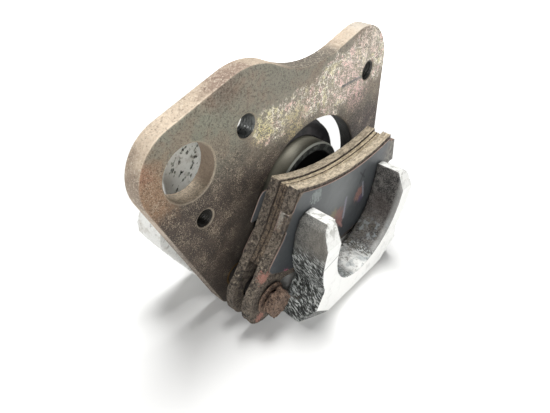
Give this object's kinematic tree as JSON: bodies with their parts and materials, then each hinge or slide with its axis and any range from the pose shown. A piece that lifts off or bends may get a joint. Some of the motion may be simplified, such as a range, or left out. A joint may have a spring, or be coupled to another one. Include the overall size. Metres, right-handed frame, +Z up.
{
  "type": "brake caliper",
  "caption": "Floating single-piston disc brake caliper with pads, guide pins and a flat steel carrier plate.",
  "frame": {"origin": "centre of the middle M10 threaded hole, on the carrier plate's mounting face", "axes": "+Z up, +Y out of the mounting face (away from the pads), +X along the plate; the piston axis is parallel to Y"},
  "size_m": [0.1671, 0.1015, 0.1234],
  "materials": {
    "plate_steel": "zinc-yellow passivated steel, mottled brown and grey, worn iridescent patches",
    "cast_aluminium": "as-cast and part machined, pale grey with black grime speckles",
    "piston_steel": "smooth olive-grey, dull",
    "rubber": "matt black rubber",
    "wire_steel": "dull spring wire",
    "backing_steel": "rusty brown and tan stamped steel",
    "friction_material": "coarse brown friction material",
    "shim_steel": "smooth blue-grey coated steel with scuffs",
    "plated_steel": "zinc plated",
    "spring_steel": "stainless leaf",
    "bush_bronze": "dull oiled bronze",
    "sleeve_steel": "dark brown-grey ground steel",
    "rusty_fastener": "heavily rusted orange-brown steel"
  },
  "bodies": {
    "carrier": {"carrier_plate": "plate_steel", "guide_bush_left": "bush_bronze", "guide_bush_right": "bush_bronze"},
    "housing": {"caliper_housing": "cast_aluminium", "piston_seal": "rubber", "dust_boot": "rubber", "boot_ring": "wire_steel", "pad_spring": "spring_steel", "outer_pad_backing": "backing_steel", "outer_pad_friction": "friction_material", "outer_pad_shim": "shim_steel", "pin_sleeve_left": "sleeve_steel", "pin_washer_left": "rusty_fastener", "pin_bolt_left": "rusty_fastener", "guide_boot_left": "rubber", "pin_sleeve_right": "sleeve_steel", "pin_washer_right": "rusty_fastener", "pin_bolt_right": "rusty_fastener", "guide_boot_right": "rubber"},
    "inner_pad": {"inner_pad_backing": "backing_steel", "inner_pad_friction": "friction_material", "inner_pad_shim": "shim_steel"},
    "piston": {"piston": "piston_steel"},
    "bleed_screw": {"bleed_screw": "plated_steel", "bleed_cap": "rubber"}
  },
  "joints": [
    {"name": "housing_slide", "type": "slide", "parent": "carrier", "child": "housing", "axis": [0, 1, 0], "range_m": [-0.003, 0.0011]},
    {"name": "inner_pad_slide", "type": "slide", "parent": "housing", "child": "inner_pad", "axis": [0, 1, 0], "range_m": [0, 0.0036]},
    {"name": "piston_slide", "type": "slide", "parent": "housing", "child": "piston", "axis": [0, 1, 0], "range_m": [-0.0016, 0.009]},
    {"name": "bleed_screw_turn", "type": "hinge", "parent": "housing", "child": "bleed_screw", "pos_m": [0.0155, 0.036, -0.027], "axis": [0, 1, 0], "range_deg": [-180, 0]}
  ]
}
